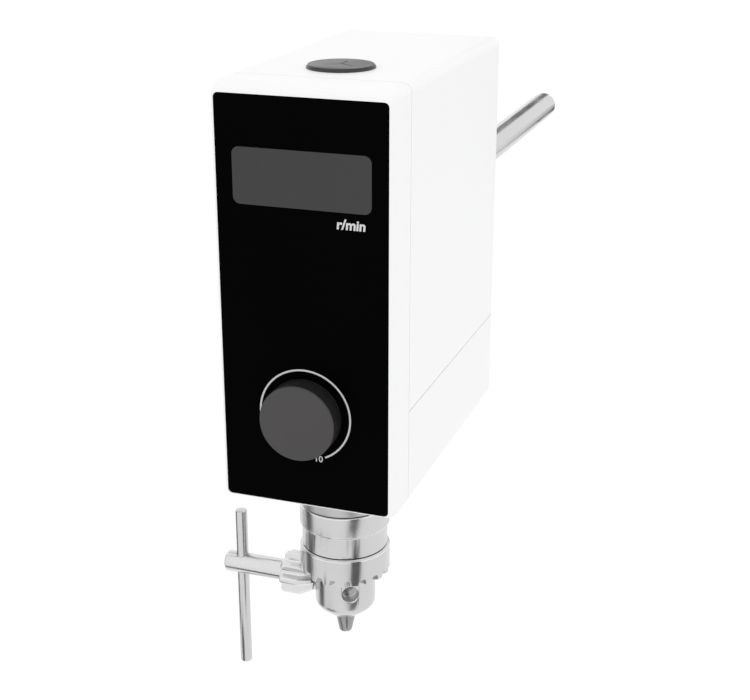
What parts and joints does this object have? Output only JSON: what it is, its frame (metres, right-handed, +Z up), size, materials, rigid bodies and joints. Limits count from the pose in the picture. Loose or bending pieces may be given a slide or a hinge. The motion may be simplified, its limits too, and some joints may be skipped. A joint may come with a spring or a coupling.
{
  "type": "overhead stirrer",
  "caption": "Boxy laboratory overhead stirrer with display and speed knob, hollow spindle, keyed drill chuck with its key, and a steel support rod.",
  "frame": {"origin": "where the axis of the support rod leaves the rear wall", "axes": "+Y along the support rod, out of the back; +Z up, parallel to the spindle; +X to the right of a person who faces the panel"},
  "size_m": [0.1057, 0.398, 0.3129],
  "materials": {
    "white_shell": "satin",
    "panel_black": "satin",
    "window_grey": "gloss",
    "display": "matt",
    "circuit_board": "satin",
    "zinc_screw": "zinc plated",
    "knob_grey": "satin",
    "cap_rubber": "matt",
    "rod_steel": "ground",
    "cast_aluminium": "as cast",
    "milled_aluminium": "milled",
    "turned_aluminium": "turned",
    "bearing_steel": "polished",
    "spindle_steel": "turned",
    "black_plastic": "matt",
    "rocker_black": "gloss",
    "motor_steel": "zinc plated",
    "magnet": "sintered",
    "rotor_iron": "laminated",
    "belt_rubber": "matt",
    "pillar_brass": "turned",
    "ribbon": "matt",
    "chuck_steel": "satin",
    "jaw_steel": "hardened"
  },
  "bodies": {
    "stirrer": {"base_plate": "milled_aluminium", "base_screws": "zinc_screw", "bearing_housing": "turned_aluminium", "bearing_plate": "milled_aluminium", "bearing_retainer": "bearing_steel", "board_pillars": "pillar_brass", "chassis": "cast_aluminium", "control_board": "circuit_board", "control_board_screws": "zinc_screw", "cover_screws": "zinc_screw", "display_module": "display", "display_window": "window_grey", "drive_belt": "belt_rubber", "flange_screws": "zinc_screw", "front_cover": "white_shell", "front_panel": "panel_black", "lower_bearing": "bearing_steel", "lower_housing": "white_shell", "motor_can": "motor_steel", "motor_magnets": "magnet", "motor_screws": "zinc_screw", "pot_nut": "zinc_screw", "power_board": "circuit_board", "power_inlet": "black_plastic", "rear_screws": "zinc_screw", "ribbon_cable": "ribbon", "rod_set_screw": "zinc_screw", "shaft_cap": "cap_rubber", "speed_pot": "zinc_screw", "speed_sensor": "black_plastic", "support_rod": "rod_steel", "switch_frame": "black_plastic", "upper_bearing": "bearing_steel", "upper_housing": "white_shell"},
    "spindle": {"hollow_spindle": "spindle_steel", "driven_pulley": "turned_aluminium", "spindle_nut": "spindle_steel", "sensor_disc": "black_plastic", "chuck_body": "chuck_steel"},
    "rotor": {"motor_rotor": "rotor_iron", "motor_shaft": "spindle_steel", "motor_pulley": "turned_aluminium"},
    "sleeve": {"chuck_sleeve": "chuck_steel", "split_nut": "chuck_steel"},
    "jaw_1": {"jaw_1": "jaw_steel"},
    "jaw_2": {"jaw_2": "jaw_steel"},
    "jaw_3": {"jaw_3": "jaw_steel"},
    "key": {"chuck_key": "chuck_steel"},
    "bar": {"tommy_bar": "chuck_steel"},
    "knob": {"speed_knob": "knob_grey", "knob_shaft": "zinc_screw"},
    "rocker": {"power_rocker": "rocker_black"}
  },
  "joints": [
    {"name": "spindle_spin", "type": "hinge", "parent": "stirrer", "child": "spindle", "pos_m": [-0.016, -0.1181, -0.115], "axis": [0, 0, 1], "continuous": true},
    {"name": "motor_spin", "type": "hinge", "parent": "stirrer", "child": "rotor", "pos_m": [-0.016, -0.0561, -0.061], "axis": [0, 0, 1], "continuous": true},
    {"name": "sleeve_turn", "type": "hinge", "parent": "spindle", "child": "sleeve", "pos_m": [-0.016, -0.1181, -0.163], "axis": [0, 0, -1], "range_deg": [0, 5377.9]},
    {"name": "jaw_1_slide", "type": "slide", "parent": "spindle", "child": "jaw_1", "axis": [0.2164, 0, 0.9763], "range_m": [0, 0.02241]},
    {"name": "jaw_2_slide", "type": "slide", "parent": "spindle", "child": "jaw_2", "axis": [-0.1082, 0.1874, 0.9763], "range_m": [0, 0.02241]},
    {"name": "jaw_3_slide", "type": "slide", "parent": "spindle", "child": "jaw_3", "axis": [-0.1082, -0.1874, 0.9763], "range_m": [0, 0.02241]},
    {"name": "key_spin", "type": "hinge", "parent": "spindle", "child": "key", "pos_m": [-0.056, -0.1181, -0.179], "axis": [-1, 0, 0], "range_deg": [0, 12773.5]},
    {"name": "bar_slide", "type": "slide", "parent": "key", "child": "bar", "axis": [0, 0, 1], "range_m": [0, 0.0274]},
    {"name": "knob_turn", "type": "hinge", "parent": "stirrer", "child": "knob", "pos_m": [-0.016, -0.1731, -0.0702], "axis": [0, -1, 0], "range_deg": [-300, 0]},
    {"name": "rocker_tilt", "type": "hinge", "parent": "stirrer", "child": "rocker", "pos_m": [0.004, -0.0031, -0.091], "axis": [-1, 0, 0], "range_deg": [0, 24]}
  ],
  "couplings": [
    {"joint": "motor_spin", "follows": "spindle_spin", "ratio": 2.3333},
    {"joint": "key_spin", "follows": "sleeve_turn", "ratio": 2.375},
    {"joint": "jaw_1_slide", "follows": "sleeve_turn", "m_per_rad": 0.00023873},
    {"joint": "jaw_2_slide", "follows": "sleeve_turn", "m_per_rad": 0.00023873},
    {"joint": "jaw_3_slide", "follows": "sleeve_turn", "m_per_rad": 0.00023873}
  ]
}
